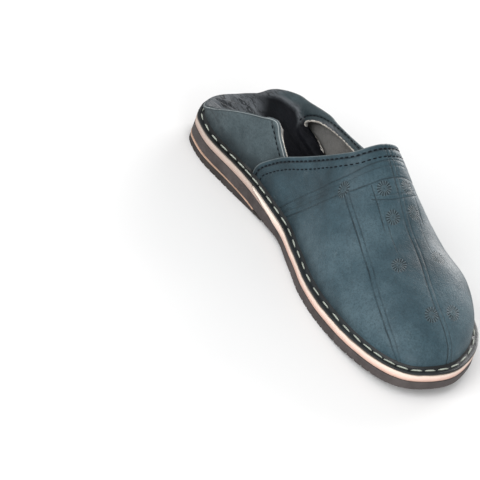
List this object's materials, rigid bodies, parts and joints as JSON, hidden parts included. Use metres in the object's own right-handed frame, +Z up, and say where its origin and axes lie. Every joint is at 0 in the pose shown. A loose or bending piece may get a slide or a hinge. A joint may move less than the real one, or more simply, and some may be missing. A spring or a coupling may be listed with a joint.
{
  "type": "babouche slipper",
  "caption": "Left leather babouche slipper: a hollow upper with a deep vamp and a trodden-down heel, sewn to a leather midsole over a ribbed rubber sole.",
  "frame": {"origin": "middle of the outer box, on the floor", "axes": "+X from heel to toe, -Y towards the inner side of the foot, +Z up"},
  "size_m": [0.2858, 0.103, 0.0872],
  "materials": {
    "upper_leather": "fine-grained blue-grey leather, softly waxed",
    "welt_leather": "dark waxed edge",
    "insole_leather": "matte undyed leather",
    "midsole_leather": "cut and sanded edge",
    "outsole_rubber": "matte moulded sheet",
    "heel_leather": "matte cut edge",
    "heel_rubber": "matte moulded"
  },
  "bodies": {
    "root": {"upper": "upper_leather", "welt": "welt_leather", "insole": "insole_leather", "midsole": "midsole_leather", "outsole": "outsole_rubber", "heel_leather": "heel_leather", "heel_piece": "heel_rubber"}
  },
  "joints": []
}
